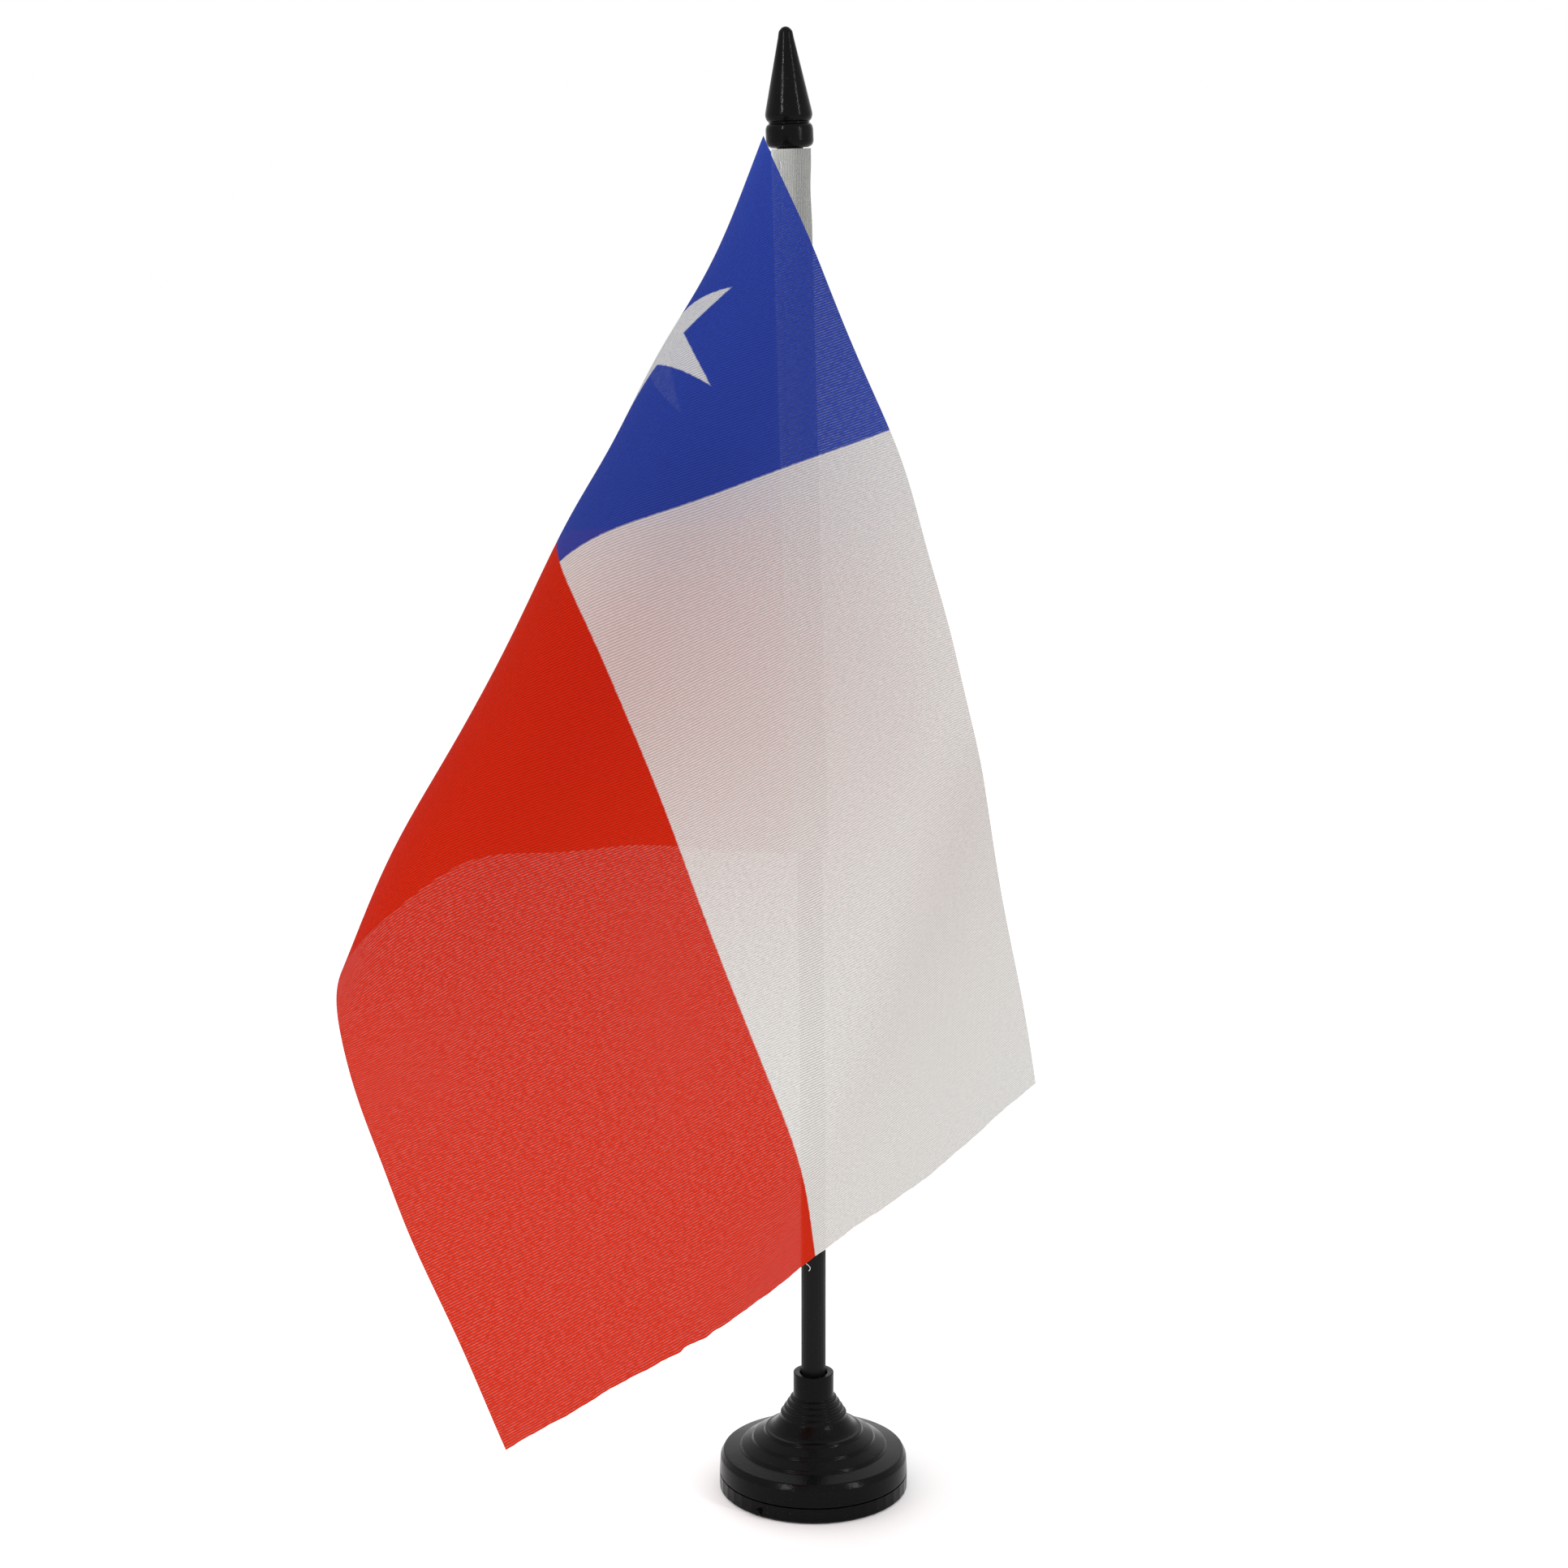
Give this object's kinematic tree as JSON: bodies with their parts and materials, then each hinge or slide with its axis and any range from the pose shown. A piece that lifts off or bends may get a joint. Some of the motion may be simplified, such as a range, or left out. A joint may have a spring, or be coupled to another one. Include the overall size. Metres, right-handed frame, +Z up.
{
  "type": "desk flag stand",
  "caption": "Small desk flag folded over itself on a slender pole with a spear finial, standing in a stepped round weighted base.",
  "frame": {"origin": "centre of the base's flat underside, where the stand rests", "axes": "+Z up along the socket and the foot of the pole; -Y towards the side that the folded flag faces; the flag's folded edge lies towards -X"},
  "size_m": [0.1325, 0.1329, 0.3049],
  "materials": {
    "base_plastic": "satin black moulded plastic",
    "pole_plastic": "satin black plastic rod",
    "finial_plastic": "satin gloss black moulded plastic",
    "ballast_steel": "plain turned steel",
    "printed_cloth": "thin ribbed polyester, printed red, white and blue",
    "white_cloth": "thin ribbed polyester, unprinted",
    "thread": "white sewing thread"
  },
  "bodies": {
    "base": {"base_cover": "base_plastic", "base_bottom_plate": "base_plastic", "ballast_weight": "ballast_steel"},
    "pole": {"pole": "pole_plastic"},
    "finial": {"finial": "finial_plastic"},
    "flag": {"hoist_sleeve": "white_cloth", "flag_cloth": "printed_cloth", "sleeve_stitching": "thread"}
  },
  "joints": [
    {"name": "pole_lift", "type": "slide", "parent": "base", "child": "pole", "axis": [0, 0, 1], "range_m": [0, 0.0225]},
    {"name": "flag_turn", "type": "hinge", "parent": "pole", "child": "flag", "pos_m": [-0.00489, 0, 0.28098], "axis": [-0.0289, 0, 0.9996], "continuous": true},
    {"name": "finial_pull", "type": "slide", "parent": "pole", "child": "finial", "axis": [-0.0399, 0, 0.9992], "range_m": [0, 0.0112]}
  ]
}
